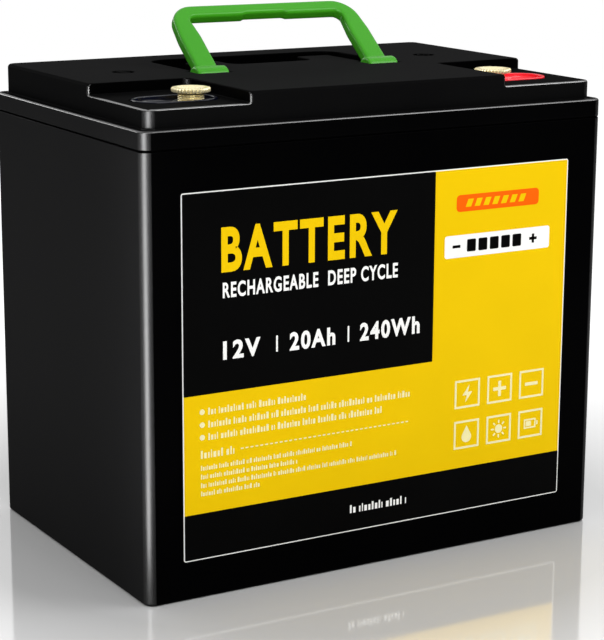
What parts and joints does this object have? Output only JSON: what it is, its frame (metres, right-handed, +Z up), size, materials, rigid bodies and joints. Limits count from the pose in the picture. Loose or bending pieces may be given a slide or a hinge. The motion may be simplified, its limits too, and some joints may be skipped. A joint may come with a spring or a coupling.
{
  "type": "deep cycle battery",
  "caption": "Boxy sealed battery with a stepped lid, brass disc terminals in corner wells and a green fold-down carrying handle.",
  "frame": {"origin": "centre of the underside of the case", "axes": "+X to the right along the front face, +Y from the label face to the rear, +Z up"},
  "size_m": [0.195, 0.13, 0.2018],
  "materials": {
    "case_plastic": "semi-gloss moulded",
    "lid_plastic": "semi-gloss moulded",
    "handle_plastic": "gloss",
    "label_film": "satin printed film",
    "brass": "machined",
    "navy_plastic": "gloss",
    "red_plastic": "gloss",
    "seal_rubber": "matte",
    "plated_steel": "satin",
    "copper": "tinned copper",
    "cell_can": "blue film over aluminium",
    "insulation": "matte",
    "inner_plastic": "matte",
    "foam": "matte",
    "circuit_board": "lacquered",
    "aluminium": "extruded",
    "connector_plastic": "matte",
    "red_lead": "satin",
    "black_lead": "satin"
  },
  "bodies": {
    "battery": {"case_shell": "case_plastic", "lid": "lid_plastic", "lid_gasket": "seal_rubber", "front_label": "label_film", "terminal_negative": "brass", "terminal_positive": "brass", "polarity_plate_negative": "navy_plastic", "polarity_plate_positive": "red_plastic", "terminal_seal_negative": "seal_rubber", "terminal_seal_positive": "seal_rubber", "terminal_nut_negative": "plated_steel", "terminal_nut_positive": "plated_steel", "terminal_lug_negative": "copper", "terminal_lug_positive": "copper", "cell_tray": "inner_plastic", "pack_frame": "inner_plastic", "pack_band_lower": "insulation", "pack_band_upper": "insulation", "base_pad": "foam", "side_foam_left": "foam", "side_foam_right": "foam", "front_foam": "foam", "rear_foam": "foam", "management_board": "circuit_board", "heat_sink": "aluminium", "balance_connector": "connector_plastic", "cell_lug_negative": "copper", "cell_lug_positive": "copper", "lead_positive": "red_lead", "lead_cell_to_board": "black_lead", "lead_board_to_terminal": "black_lead", "cell_1": "cell_can", "board_screw_1": "plated_steel", "cell_2": "cell_can", "board_screw_2": "plated_steel", "cell_3": "cell_can", "board_screw_3": "plated_steel", "cell_4": "cell_can", "board_screw_4": "plated_steel", "link_screw_1": "plated_steel", "link_screw_2": "plated_steel", "link_screw_3": "plated_steel", "link_screw_4": "plated_steel", "link_screw_5": "plated_steel", "link_screw_6": "plated_steel", "link_screw_7": "plated_steel", "link_screw_8": "plated_steel", "series_link_1": "copper", "cell_insulator_1": "insulation", "series_link_2": "copper", "cell_insulator_2": "insulation", "series_link_3": "copper", "cell_insulator_3": "insulation"},
    "handle": {"handle": "handle_plastic"}
  },
  "joints": [
    {"name": "handle_fold", "type": "hinge", "parent": "battery", "child": "handle", "pos_m": [0, 0, 0.1774], "axis": [1, 0, 0], "range_deg": [-38, 52]}
  ]
}
